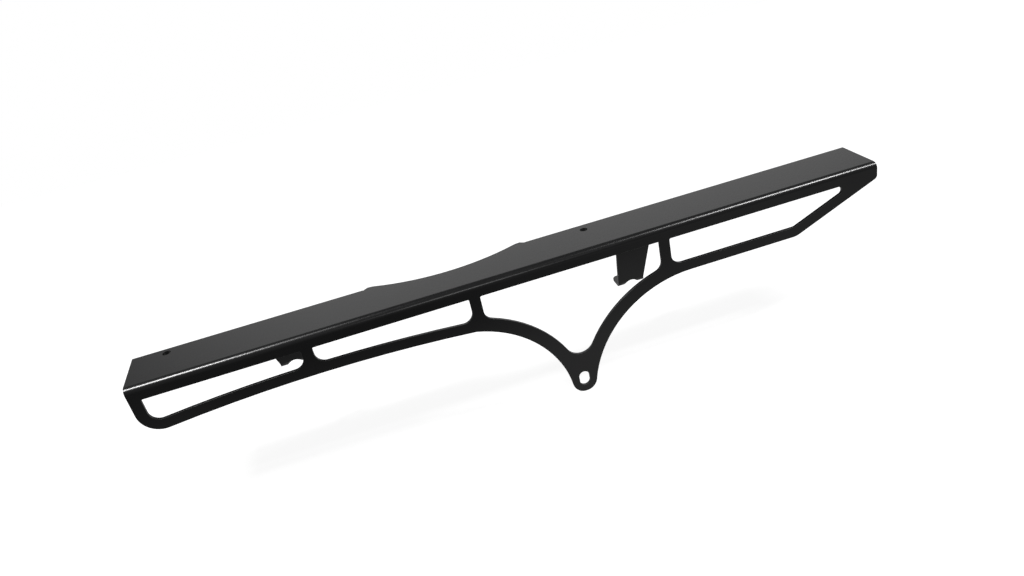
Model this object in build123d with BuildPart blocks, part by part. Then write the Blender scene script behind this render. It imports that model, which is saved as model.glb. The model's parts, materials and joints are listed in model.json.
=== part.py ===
from build123d import *
import os
from math import atan2, radians, sqrt, tan

# Motorcycle chain guard: one laser-cut steel sheet, folded along its length.
# X runs along the chain towards the rear wheel, Y runs inboard towards the tyre, Z is up.
# The origin is the centre of the lug's slot, on the outer face of the side plate.

# Sheet and folds
sheet = 2.0
fold_radius = 2.0  # inside of the long fold between the side plate and the web
bend_radius = 1.0  # inside of the folds of the lips and feet
fold_outside = fold_radius + sheet
bend_outside = bend_radius + sheet
fold_overlap = 1.0  # how far a folded section runs on into the flat beside it

# Overall form
front_reach = 264.6  # slot to front end
rear_reach = 215.65  # slot to rear end
top_height = 90.1  # slot to top of the web
web_width = 39.3  # outer face of the side plate to outer face of the lip
lip_height = 12.0  # inner lip, top of the web to its free edge
lip_corner_radius = 4.0

# Side plate: the band under the fold, the rails, the posts and the two arms
band_depth = 8.9
rail_width = 7.0
post_width = 7.0
arm_width = 9.0
front_window_height = 11.25  # at the crown of the front arch
rear_window_height = 18.7
arch_radius = 950.0
arch_crown_x = -156.6
front_post_x = -161.3
middle_post_x = -57.6
rear_post_x = 66.35
front_arm_radius = 71.6
front_arm_rise = 0.9  # how far the front arm's circle stands above the arch it runs into
rear_arm_radius = 75.5
arm_root_radius = 9.6
tail_length = 58.85  # run of the slanting rear edge
tail_edge = 10.45  # upright rear end, top of the web to the slant
tail_corner_radius = 3.0
tail_knee_radius = 5.0  # inside of the knee, in the rear window
tail_tip_height = 4.5  # blunt rear end of the rear window
tail_tip_radius = 2.6
window_radius = 6.5  # lower corners of the windows
window_top_radius = 1.0

# Lug with the adjusting slot
lug_radius = 8.3
slot_width = 7.0
slot_length = 10.5

# Web: tyre relief and cable clip holes
relief_x = -67.35
relief_radius = 116.2
relief_depth = 10.2  # from the land's edge
relief_corner_radius = 8.0
relief_land = 6.2  # edge left between the relief and the end of each lip
land_inset = 0.5  # outer face of the lip to the land's edge
land_ramp = 3.2  # part of the land that slopes back to the lip's fold
clip_hole_diameter = 5.0
front_clip_setback = 21.5  # front end to the hole
front_clip_inset = 7.8  # outer face of the lip to the hole
rear_clip_x = 24.4
rear_clip_inset = 9.7

# Tabs that hang from the lip, each with a foot folded inboard
tab_width = 18.3
tab_slant = 17.5  # edge that leans away from the middle, degrees
tab_draft = 4.7  # the other edge, degrees
tab_root_radius = 3.0
front_tab_x = -175.7
front_tab_drop = 36.5  # top of the web to the underside of the foot
rear_tab_x = 53.3
rear_tab_drop = 53.75
foot_length = 11.8
foot_corner_radius = 3.5
foot_slot_width = 8.8
foot_slot_reach = 5.0  # outer face of the lip to the bolt's centre
notch_height = 3.2  # arch where the foot's slot breaks through the fold
notch_radius = 5.6

# Levels and places that follow from the sizes above
side_top = top_height - fold_outside
window_top = top_height - band_depth
lip_bottom = top_height - lip_height
arch_crown = window_top - front_window_height - rail_width
rear_rail = window_top - rear_window_height - rail_width
knee_x = rear_reach - tail_length
tail_corner = top_height - tail_edge
front_corner_radius = window_radius + rail_width
tail_angle = atan2(tail_corner - rear_rail, tail_length)
relief_half = sqrt(relief_radius**2 - (relief_radius - relief_depth) ** 2)
lip_front_end = relief_x - relief_half - relief_land
lip_rear_end = relief_x + relief_half + relief_land
land_edge = web_width - land_inset

# Circles of the lower edge
lug_centre = Vector(0, (slot_width - slot_length) / 2)
arch_centre = Vector(arch_crown_x, arch_crown - arch_radius)


def toward(start, goal, distance):
    return start + (goal - start).normalized() * distance


def meeting(centre_a, radius_a, centre_b, radius_b):
    # The crossing of two circles that lies to the left when going from a to b
    span = (centre_b - centre_a).length
    along = (radius_a**2 - radius_b**2 + span**2) / (2 * span)
    across = sqrt(radius_a**2 - along**2)
    ahead = (centre_b - centre_a).normalized()
    return centre_a + ahead * along + Vector(-ahead.Y, ahead.X) * across


def arc_about(centre, start, end):
    middle = toward(centre, start + (end - start) * 0.5, (start - centre).length)
    return ThreePointArc(start, middle, end)


front_arm_reach = arch_radius - front_arm_radius + front_arm_rise
front_arm = meeting(arch_centre, front_arm_reach, lug_centre, front_arm_radius + lug_radius)
rear_arm_drop = rear_rail - rear_arm_radius - lug_centre.Y
rear_arm_run = sqrt((rear_arm_radius + lug_radius) ** 2 - rear_arm_drop**2)
rear_arm = lug_centre + Vector(rear_arm_run, rear_arm_drop)
corner_x = -front_reach + front_corner_radius
corner_reach = arch_radius + front_corner_radius
corner_rise = sqrt(corner_reach**2 - (corner_x - arch_centre.X) ** 2)
front_corner = Vector(corner_x, arch_centre.Y + corner_rise)

corner_start = front_corner - Vector(front_corner_radius, 0)
arch_start = toward(arch_centre, front_corner, arch_radius)
arch_end = meeting(front_arm, front_arm_radius, arch_centre, arch_radius)
lug_front = toward(lug_centre, front_arm, lug_radius)
lug_rear = toward(lug_centre, rear_arm, lug_radius)
rail_start = Vector(rear_arm.X, rear_rail)
knee = Vector(knee_x, rear_rail)
tail = Vector(rear_reach, tail_corner)


def folded_section(start_x, lipped):
    # Top of the side plate, fold and web, with the lip too where it is folded down
    side_end = side_top - fold_overlap
    web_bottom = top_height - sheet
    outer = [(0, side_end), (0, top_height)]
    inner = [(sheet, side_end), (sheet, web_bottom)]
    outer_radii = [fold_outside]
    inner_radii = [fold_radius]
    if lipped:
        lip_face = web_width - sheet
        outer += [(web_width, top_height), (web_width, lip_bottom)]
        inner += [(lip_face, web_bottom), (lip_face, lip_bottom)]
        outer_radii += [bend_outside]
        inner_radii += [bend_radius]
    else:
        outer += [(land_edge, top_height)]
        inner += [(land_edge, web_bottom)]
    with BuildSketch(Plane.YZ.offset(start_x)) as section:
        with BuildLine():
            outside = FilletPolyline(*outer, radius=outer_radii)
            inside = FilletPolyline(*inner, radius=inner_radii)
            Line(outside @ 0, inside @ 0)
            Line(outside @ 1, inside @ 1)
        make_face()
    return section.sketch


def hanging_tab(centre_x, drop, way):
    # A plate below the lip that leans to one side, its foot folded inboard and slotted for a bolt
    underside = top_height - drop
    leg_bottom = underside + bend_outside
    rise = lip_bottom - leg_bottom
    half = tab_width / 2
    draft_foot = Vector(centre_x - way * half, leg_bottom)
    slant_foot = Vector(centre_x + way * half, leg_bottom)
    draft_top = draft_foot + Vector(way * rise * tan(radians(tab_draft)), rise)
    slant_top = slant_foot + Vector(way * rise * tan(radians(tab_slant)), rise)
    shoulder = Vector(way * 2 * tab_root_radius, 0)
    seat = Vector(0, sheet)
    bolt_y = web_width + foot_slot_reach
    fold_centre = Vector(web_width + bend_radius, leg_bottom)
    with BuildPart() as tab:
        with BuildSketch(Plane.XZ.offset(-web_width)) as plate:
            with BuildLine():
                Polyline(draft_foot, slant_foot, slant_top, slant_top + shoulder, slant_top + shoulder + seat,
                         draft_top - shoulder + seat, draft_top - shoulder, draft_top, close=True)
            make_face()
            fillet(plate.vertices().sort_by_distance(slant_top)[0], radius=tab_root_radius)
            fillet(plate.vertices().sort_by_distance(draft_top)[0], radius=tab_root_radius)
        extrude(amount=sheet)
        with BuildSketch(Plane.YZ.offset(centre_x - half)):
            with BuildLine():
                outside = CenterArc(fold_centre, bend_outside, 180, 90)
                inside = CenterArc(fold_centre, bend_radius, 180, 90)
                toe = Vector(web_width + foot_length, underside)
                Line(outside @ 0, inside @ 0)
                Polyline(outside @ 1, toe, toe + seat, inside @ 1)
            make_face()
        extrude(amount=tab_width)
        fillet(tab.edges().filter_by(Axis.Z).group_by(Axis.Y)[-1], radius=foot_corner_radius)
        with BuildSketch(Plane.XY.offset(underside)):
            with Locations((centre_x, (fold_centre.X + bolt_y) / 2)):
                Rectangle(foot_slot_width, bolt_y - fold_centre.X)
            with Locations((centre_x, bolt_y)):
                Circle(foot_slot_width / 2)
        extrude(amount=sheet, mode=Mode.SUBTRACT)
        with BuildSketch(Plane.XZ.offset(-fold_centre.X)):
            with Locations((centre_x, underside + notch_height - notch_radius)):
                Circle(notch_radius)
        extrude(amount=bend_outside, mode=Mode.SUBTRACT)
    return tab.part


front_tab = hanging_tab(front_tab_x, front_tab_drop, -1)
rear_tab = hanging_tab(rear_tab_x, rear_tab_drop, 1)


def arch_window(start_x, end_x):
    # A window over the front arch, between two uprights
    with BuildSketch(Plane.XZ) as window:
        with Locations(((start_x + end_x) / 2, window_top)):
            Rectangle(end_x - start_x, window_top, align=(Align.CENTER, Align.MAX))
        with Locations(arch_centre):
            Circle(arch_radius + rail_width, mode=Mode.SUBTRACT)
        fillet(window.vertices().sort_by(Axis.Y)[:2], radius=window_radius)
        fillet(window.vertices().sort_by(Axis.Y)[-2:], radius=window_top_radius)
    return window.sketch


def arm_window(start_x, end_x):
    # The window over the two arms, which meet in a round root above the lug
    height = window_top - lug_centre.Y
    with BuildSketch(Plane.XZ) as window:
        with Locations(((start_x + end_x) / 2, window_top)):
            Rectangle(end_x - start_x, height, align=(Align.CENTER, Align.MAX))
        with Locations(front_arm):
            Circle(front_arm_radius + arm_width, mode=Mode.SUBTRACT)
        with Locations(rear_arm):
            Circle(rear_arm_radius + arm_width, mode=Mode.SUBTRACT)
        fillet(window.vertices().sort_by(Axis.Y)[1:3], radius=window_radius)
        fillet(window.vertices().sort_by(Axis.Y)[-2:], radius=window_top_radius)
        fillet(window.vertices().sort_by(Axis.Y)[0], radius=arm_root_radius)
    return window.sketch


def tail_window(start_x):
    # The long rear window, which narrows along the slant to a blunt tip
    inner_rail = rear_rail + rail_width
    inner_knee = knee_x - rail_width * tan(tail_angle / 2)
    tip_bottom = window_top - tail_tip_height
    tip_x = inner_knee + (tip_bottom - inner_rail) / tan(tail_angle)
    corners = [(start_x, window_top), (start_x, inner_rail), (inner_knee, inner_rail)]
    corners += [(tip_x, tip_bottom), (tip_x, window_top)]
    radii = [window_top_radius, window_radius, tail_knee_radius, tail_tip_radius, tail_tip_radius]
    with BuildSketch(Plane.XZ) as window:
        with BuildLine():
            FilletPolyline(*corners, radius=radii, close=True)
        make_face()
    return window.sketch


with BuildPart() as chain_guard:
    # Side plate, cut along its outer edge
    with BuildSketch(Plane.XZ) as side:
        with BuildLine():
            Line((-front_reach, side_top), corner_start)
            arc_about(front_corner, corner_start, arch_start)
            arc_about(arch_centre, arch_start, arch_end)
            arc_about(front_arm, arch_end, lug_front)
            arc_about(lug_centre, lug_front, lug_rear)
            arc_about(rear_arm, lug_rear, rail_start)
            Polyline(rail_start, knee, tail, (rear_reach, side_top), (-front_reach, side_top))
        make_face()
        fillet(side.vertices().sort_by_distance(knee)[0], radius=tail_knee_radius + rail_width)
        fillet(side.vertices().sort_by_distance(tail)[0], radius=tail_corner_radius)
    extrude(amount=-sheet)

    # Web and near fold, with a lip in front of the tyre relief and one behind it
    extrude(folded_section(-front_reach, True), amount=front_reach + lip_front_end)
    extrude(folded_section(lip_front_end, False), amount=lip_rear_end - lip_front_end)
    extrude(folded_section(lip_rear_end, True), amount=rear_reach - lip_rear_end)
    fillet(chain_guard.edges().filter_by(Axis.Y).group_by(Axis.Y)[-1], radius=lip_corner_radius)
    with BuildSketch(Plane.XY.offset(top_height)):
        with Locations((relief_x, land_edge - relief_depth + relief_radius)):
            Circle(relief_radius)
        with BuildLine():
            Polyline((lip_front_end, land_edge), (lip_front_end, web_width - bend_outside),
                     (lip_front_end + land_ramp, land_edge), close=True)
        make_face()
        with BuildLine():
            Polyline((lip_rear_end, land_edge), (lip_rear_end, web_width - bend_outside),
                     (lip_rear_end - land_ramp, land_edge), close=True)
        make_face()
        front_clip = (-front_reach + front_clip_setback, web_width - front_clip_inset)
        rear_clip = (rear_clip_x, web_width - rear_clip_inset)
        with Locations(front_clip, rear_clip):
            Circle(clip_hole_diameter / 2)
    extrude(amount=-sheet, mode=Mode.SUBTRACT)
    for relief_end in (relief_x - relief_half, relief_x + relief_half):
        corner = Vector(relief_end, land_edge, top_height)
        fillet(chain_guard.edges().filter_by(Axis.Z).sort_by_distance(corner)[0], radius=relief_corner_radius)
    add([front_tab, rear_tab])

    # Windows between the posts, and the slot in the lug
    half_post = post_width / 2
    extrude(arch_window(-front_reach + rail_width, front_post_x - half_post), amount=-sheet, mode=Mode.SUBTRACT)
    extrude(arch_window(front_post_x + half_post, middle_post_x - half_post), amount=-sheet, mode=Mode.SUBTRACT)
    extrude(arm_window(middle_post_x + half_post, rear_post_x - half_post), amount=-sheet, mode=Mode.SUBTRACT)
    extrude(tail_window(rear_post_x + half_post), amount=-sheet, mode=Mode.SUBTRACT)
    with BuildSketch(Plane.XZ):
        SlotOverall(slot_length, slot_width, rotation=90)
    extrude(amount=-sheet, mode=Mode.SUBTRACT)

chain_guard.part.label = "chain_guard"
os.makedirs("parts", exist_ok=True)
export_step(chain_guard.part, "parts/chain_guard.step")
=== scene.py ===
import json
from math import radians

import bpy
from mathutils import Matrix, Vector


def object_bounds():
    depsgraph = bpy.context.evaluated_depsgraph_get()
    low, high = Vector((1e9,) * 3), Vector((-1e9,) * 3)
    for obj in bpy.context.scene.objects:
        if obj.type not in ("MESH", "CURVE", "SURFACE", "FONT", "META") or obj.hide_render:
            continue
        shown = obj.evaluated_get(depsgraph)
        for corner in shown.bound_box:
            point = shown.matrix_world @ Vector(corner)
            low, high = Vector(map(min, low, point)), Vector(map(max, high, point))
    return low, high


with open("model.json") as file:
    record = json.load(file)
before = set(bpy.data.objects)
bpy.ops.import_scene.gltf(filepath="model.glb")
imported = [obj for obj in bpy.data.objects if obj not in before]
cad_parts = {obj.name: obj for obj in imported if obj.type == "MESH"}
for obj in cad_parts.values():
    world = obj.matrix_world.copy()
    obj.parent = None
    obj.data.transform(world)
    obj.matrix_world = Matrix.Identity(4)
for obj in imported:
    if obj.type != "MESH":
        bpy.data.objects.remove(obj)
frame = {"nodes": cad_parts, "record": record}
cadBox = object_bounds()
guard = frame["nodes"]["chain_guard"]
mountAt = {mount["name"]: Vector(mount["pos_m"]) for mount in frame["record"]["mounts"]}
print("frame loaded:", ", ".join(frame["nodes"]))


class Wire:
    # wraps one output socket, so that shader maths reads as plain maths
    def __init__(self, graph, socket):
        self.graph = graph
        self.socket = socket

    def maths(self, operation, first, second):
        return self.graph.add("ShaderNodeMath", {"operation": operation}, {0: first, 1: second})

    def __add__(self, other):
        return self.maths("ADD", self, other)

    def __radd__(self, other):
        return self.maths("ADD", other, self)

    def __sub__(self, other):
        return self.maths("SUBTRACT", self, other)

    def __rsub__(self, other):
        return self.maths("SUBTRACT", other, self)

    def __mul__(self, other):
        return self.maths("MULTIPLY", self, other)

    def __rmul__(self, other):
        return self.maths("MULTIPLY", other, self)

    def __gt__(self, other):
        return self.maths("GREATER_THAN", self, other)

    def __lt__(self, other):
        return self.maths("LESS_THAN", self, other)


class Graph:
    def __init__(self, tree):
        self.tree = tree
        tree.nodes.clear()

    def add(self, kind, settings=None, sockets=None, out=0):
        # settings go on the node first, then values or links on its sockets
        node = self.tree.nodes.new(kind)
        for key, value in (settings or {}).items():
            setattr(node, key, value)
        for key, value in (sockets or {}).items():
            socket = node.inputs[key]
            if isinstance(value, Wire):
                self.tree.links.new(value.socket, socket)
            else:
                socket.default_value = value
        return Wire(self, node.outputs[out]) if len(node.outputs) else None

    def mixColours(self, share, first, second):
        # a Mix node holds its two colours in sockets 6 and 7
        return self.add("ShaderNodeMix", {"data_type": "RGBA"}, {0: share, 6: first, 7: second}, out=2)

    def rise(self, value, span, ends=(0.0, 1.0), kind="SMOOTHSTEP"):
        # goes from one end to the other while the value crosses the span
        return self.add("ShaderNodeMapRange", {"interpolation_type": kind},
                        {0: value, 1: span[0], 2: span[1], 3: ends[0], 4: ends[1]})


def newMaterial(name):
    material = bpy.data.materials.new(name)
    material.use_nodes = True
    return material, Graph(material.node_tree)


def paint(tone, lift=1.0):
    return (*(channel * lift for channel in tone), 1)


# Satin black powder coat on the sheet
coat = {
    "deep": (0.0058, 0.0058, 0.0061),
    "pale": (0.0088, 0.0088, 0.0092),
    "fleck": (0.0220, 0.0220, 0.0225),
    "cloud": {"Scale": 22.0, "Detail": 4.0, "Roughness": 0.55},    # slow mottling
    "peel": {"Scale": 780.0, "Detail": 2.0, "Roughness": 0.45},    # orange peel
    "grain": {"Scale": 2600.0, "Detail": 1.0},                     # grains of powder
    "noiseMiddle": 0.5,
    "cloudSpan": (0.32, 0.68),
    "fleckSpan": (0.62, 0.80),
    "fleckShare": 0.5,
    "roughness": 0.24,
    "cloudSwing": 0.06,      # how far the mottling and the peel sway the roughness
    "peelSwing": 0.05,
    "peelShare": 0.8,        # peel in the bump's height, the rest is grain
    "peelDepth": 0.00006,
    "peelStrength": 0.25,
    "refraction": 1.5,
    "edgeHighlightLift": 1.3,         # on cut edges the coat is painted paler, a painted highlight where the edges catch the light, and is rougher
    "edgeRougher": 0.24,
}


def powderCoat(name, lift=1.0, rougher=0.0):
    material, graph = newMaterial(name)
    place = graph.add("ShaderNodeTexCoord", out="Object")
    cloud = graph.add("ShaderNodeTexNoise", {}, {"Vector": place, **coat["cloud"]})
    peel = graph.add("ShaderNodeTexNoise", {}, {"Vector": place, **coat["peel"]})
    grain = graph.add("ShaderNodeTexNoise", {}, {"Vector": place, **coat["grain"]})
    mottle = graph.rise(cloud, coat["cloudSpan"], kind="LINEAR")
    flecks = graph.rise(grain, coat["fleckSpan"], kind="LINEAR")
    # lift paints the coat paler; on the cut edges this is a painted highlight
    body = graph.mixColours(mottle, paint(coat["deep"], lift), paint(coat["pale"], lift))
    colour = graph.mixColours(flecks * coat["fleckShare"], body, paint(coat["fleck"]))
    cloudSway = (cloud - coat["noiseMiddle"]) * coat["cloudSwing"]
    peelSway = (peel - coat["noiseMiddle"]) * coat["peelSwing"]
    height = peel * coat["peelShare"] + grain * (1 - coat["peelShare"])
    bump = graph.add("ShaderNodeBump", {}, {
        "Strength": coat["peelStrength"],
        "Distance": coat["peelDepth"],
        "Height": height,
    })
    shader = graph.add("ShaderNodeBsdfPrincipled", {}, {
        "Base Color": colour,
        "Roughness": coat["roughness"] + rougher + cloudSway + peelSway,
        "IOR": coat["refraction"],
        "Normal": bump,
    })
    graph.add("ShaderNodeOutputMaterial", {}, {"Surface": shader})
    return material


guard.data.materials.clear()
guard.data.materials.append(powderCoat("satinBlackCoat"))
# the cut-edge coat is painted paler: a painted highlight along the softened edges
guard.data.materials.append(powderCoat("coatOnCutEdge", coat["edgeHighlightLift"], coat["edgeRougher"]))
edgeSlot = len(guard.data.materials) - 1
print("coat done")

# Cut edges, softened by the coat
edge = {
    "weld": 0.0002,
    "flat": 0.3,                          # faces that meet at less than this, in degrees, are taken as one
    "width": 0.0002,
    "segments": 3,
    "angle": 35,                          # edges sharper than this, in degrees, are softened
    "faceWeight": 100,                    # large faces keep their own shading
    # places too small to soften, and how far each one reaches
    "holes": ("front_clip_hole", "rear_clip_hole"),
    "holeReach": 0.0040,
    "feet": ("front_foot_slot", "rear_foot_slot"),
    "footShift": (0.0, -0.0040, 0.0015),  # from a foot's slot to its fold
    "footReach": 0.0095,
    "reliefEnds": (-0.1212, -0.0135),     # x of the lands at the ends of the tyre relief
    "reliefY": 0.0373,
    "reliefReach": 0.0045,
}


def crispPlaces():
    webZ = mountAt["front_clip_hole"].z
    places = [(mountAt[name], edge["holeReach"]) for name in edge["holes"]]
    places += [(mountAt[name] + Vector(edge["footShift"]), edge["footReach"]) for name in edge["feet"]]
    places += [((x, edge["reliefY"], webZ), edge["reliefReach"]) for x in edge["reliefEnds"]]
    return places


def edgeWeights():
    group = bpy.data.node_groups.new("edgeWeights", "GeometryNodeTree")
    for way in ("INPUT", "OUTPUT"):
        group.interface.new_socket("Geometry", in_out=way, socket_type="NodeSocketGeometry")
    graph = Graph(group)
    shape = graph.add("NodeGroupInput")
    place = graph.add("GeometryNodeInputPosition")
    bend = graph.add("GeometryNodeInputMeshEdgeAngle")
    weight = bend > radians(edge["angle"])
    for centre, reach in crispPlaces():
        away = graph.add("ShaderNodeVectorMath", {"operation": "DISTANCE"},
                         {0: place, 1: centre}, out="Value")
        weight = weight * (away > reach)
    marked = graph.add("GeometryNodeStoreNamedAttribute", {"data_type": "FLOAT", "domain": "EDGE"},
                       {"Geometry": shape, "Name": "bevel_weight_edge", "Value": weight})
    graph.add("NodeGroupOutput", {}, {0: marked})
    return group


weld = guard.modifiers.new("joinSeams", "WELD")
weld.merge_threshold = edge["weld"]
flatten = guard.modifiers.new("flatFaces", "DECIMATE")
flatten.decimate_type = "DISSOLVE"
flatten.angle_limit = radians(edge["flat"])
mark = guard.modifiers.new("markEdges", "NODES")
mark.node_group = edgeWeights()
soften = guard.modifiers.new("coatedEdge", "BEVEL")
soften.width = edge["width"]
soften.segments = edge["segments"]
soften.limit_method = "WEIGHT"
soften.material = edgeSlot
soften.use_clamp_overlap = False
shading = guard.modifiers.new("evenShading", "WEIGHTED_NORMAL")  # keeps the long fold's shading true
shading.mode = "FACE_AREA"
shading.weight = edge["faceWeight"]
shading.keep_sharp = True  # the walls of the crisp holes keep their own shading
print("edges done")

# White sweep: floor, back panel and world
sweep = {
    "floorSize": 6.0,
    "floorPale": (0.30, 0.30, 0.30),       # what the camera sees of the lamps on the floor
    "floorDark": (0.045, 0.045, 0.045),    # what the coat sees of them
    "floorWhite": 0.90,
    "fadeSpan": (0.25, 1.10),              # beyond the shadow the floor goes to plain white
    "floorShine": (0.06, 0.25),            # share of the white that the coat mirrors, left to right
    "shineSpan": (-0.12, 0.22),
    "nearShine": 0.43,                     # the mirrored floor is brightest close to the guard
    "nearSpan": (-0.15, -0.045),
    "panelX": (-1.20, 1.80),
    "panelY": 0.90,
    "panelTop": 0.78,
    "panelGlow": 0.79,
    "leftSpan": (-0.90, -0.13),            # the panel dims towards its left end
    "leftLeast": 0.04,
    "rightSpan": (0.30, 1.50),             # and less towards its right end
    "rightLeast": 0.49,
    "worldGrey": 0.05,
    "worldShine": 0.10,
}


def stagePlane(name, corners, material):
    mesh = bpy.data.meshes.new(name)
    mesh.from_pydata(corners, [], [tuple(range(len(corners)))])
    mesh.materials.append(material)
    plane = bpy.data.objects.new(name, mesh)
    bpy.context.scene.collection.objects.link(plane)


def rayIs(graph, kind):
    return graph.add("ShaderNodeLightPath", out=f"Is {kind} Ray")


def seenWhite(graph, shine):
    # share of the plain white that a ray sees: all for the camera, some for the black coat
    return rayIs(graph, "Camera") + rayIs(graph, "Transmission") + rayIs(graph, "Glossy") * shine


def floorMaterial():
    material, graph = newMaterial("whiteFloor")
    place = graph.add("ShaderNodeTexCoord", out="Object")
    along = graph.add("ShaderNodeSeparateXYZ", {}, {0: place}, out="X")
    across = graph.add("ShaderNodeSeparateXYZ", {}, {0: place}, out="Y")
    reach = graph.add("ShaderNodeVectorMath", {"operation": "LENGTH"}, {0: place}, out="Value")
    shine = graph.rise(along, sweep["shineSpan"], sweep["floorShine"])
    near = graph.rise(across, sweep["nearSpan"])
    shine = shine + (sweep["nearShine"] - shine) * near
    white = graph.rise(reach, sweep["fadeSpan"], (sweep["floorWhite"], 1.0))
    pale = graph.add("ShaderNodeBsdfDiffuse", {}, {"Color": paint(sweep["floorPale"])})
    dark = graph.add("ShaderNodeBsdfDiffuse", {}, {"Color": paint(sweep["floorDark"])})
    lit = graph.add("ShaderNodeMixShader", {}, {0: rayIs(graph, "Camera"), 1: dark, 2: pale})
    glow = graph.add("ShaderNodeEmission", {}, {"Color": seenWhite(graph, shine) * white})
    both = graph.add("ShaderNodeAddShader", {}, {0: lit, 1: glow})
    graph.add("ShaderNodeOutputMaterial", {}, {"Surface": both})
    material.cycles.emission_sampling = "NONE"  # it glows where rays meet it, and isn't sampled as a lamp
    return material


def panelMaterial():
    material, graph = newMaterial("whitePanel")
    place = graph.add("ShaderNodeTexCoord", out="Object")
    along = graph.add("ShaderNodeSeparateXYZ", {}, {0: place}, out="X")
    leftEnd = graph.rise(along, sweep["leftSpan"], (sweep["leftLeast"], 1.0))
    rightEnd = graph.rise(along, sweep["rightSpan"], (1.0, sweep["rightLeast"]))
    soft = leftEnd * rightEnd * sweep["panelGlow"]
    strength = rayIs(graph, "Camera") * (1 - soft) + soft
    glow = graph.add("ShaderNodeEmission", {}, {"Color": strength})
    graph.add("ShaderNodeOutputMaterial", {}, {"Surface": glow})
    material.cycles.emission_sampling = "NONE"
    return material


floorZ = cadBox[0].z
half = sweep["floorSize"] / 2
left, right = sweep["panelX"]
back = sweep["panelY"]
top = sweep["panelTop"]
floorCorners = [(-half, -half, floorZ), (half, -half, floorZ), (half, half, floorZ), (-half, half, floorZ)]
panelCorners = [(left, back, floorZ), (right, back, floorZ), (right, back, top), (left, back, top)]
stagePlane("floor", floorCorners, floorMaterial())
stagePlane("backPanel", panelCorners, panelMaterial())

world = bpy.data.worlds.new("studio")
bpy.context.scene.world = world
world.use_nodes = True
world.cycles.sampling_method = "NONE"
worldGraph = Graph(world.node_tree)
grey = sweep["worldGrey"]
skyTone = seenWhite(worldGraph, sweep["worldShine"]) * (1 - grey) + grey
sky = worldGraph.add("ShaderNodeBackground", {}, {"Color": skyTone})
worldGraph.add("ShaderNodeOutputWorld", {}, {"Surface": sky})
print("sweep done")

# Soft boxes overhead, left and right, and a weak one in front
lamps = {
    "leftBox": {"at": (-0.468, -0.12, 0.79), "turn": (0, 0, 18), "size": (0.225, 0.11), "power": 5.4},
    "leftSpill": {"at": (-0.285, -0.05, 0.79), "turn": (0, 0, 0), "size": (0.18, 0.11), "power": 0.26},
    "rightBox": {"at": (0.560, -0.23, 0.79), "turn": (0, 0, 0), "size": (0.30, 0.10), "power": 5.3},
    "rightSpill": {"at": (0.36, -0.20, 0.79), "turn": (0, 0, 0), "size": (0.10, 0.10), "power": 0.29},
    "frontBox": {"at": (0.035, -1.00, 0.79), "turn": (52, 0, 0), "size": (0.19, 0.24), "power": 0.77},
}

for name, lamp in lamps.items():
    data = bpy.data.lights.new(name, "AREA")
    data.shape = "RECTANGLE"
    data.size, data.size_y = lamp["size"]
    data.energy = lamp["power"]
    box = bpy.data.objects.new(name, data)
    bpy.context.scene.collection.objects.link(box)
    box.location = lamp["at"]
    box.rotation_euler = [radians(angle) for angle in lamp["turn"]]
print("lamps done")

# Camera, placed and turned from the straight edges of the photo
lens = {
    "focal": 28.6587,
    "sensor": 36,
    "nearest": 0.01,
    "at": (-0.098776, -0.432658, 0.312696),
    "right": (0.948117, -0.248526, -0.198263),
    "up": (0.289711, 0.418586, 0.860729),
    "back": (-0.130923, -0.873511, 0.468869),
}

cameraData = bpy.data.cameras.new("camera")
cameraData.sensor_width = lens["sensor"]
cameraData.lens = lens["focal"]
cameraData.clip_start = lens["nearest"]
camera = bpy.data.objects.new("camera", cameraData)
bpy.context.scene.collection.objects.link(camera)
turn = Matrix((lens["right"], lens["up"], lens["back"])).transposed()
camera.matrix_world = Matrix.Translation(lens["at"]) @ turn.to_4x4()
bpy.context.scene.camera = camera
bpy.context.scene.view_settings.view_transform = "Standard"
print("camera done")

bpy.context.view_layer.update()
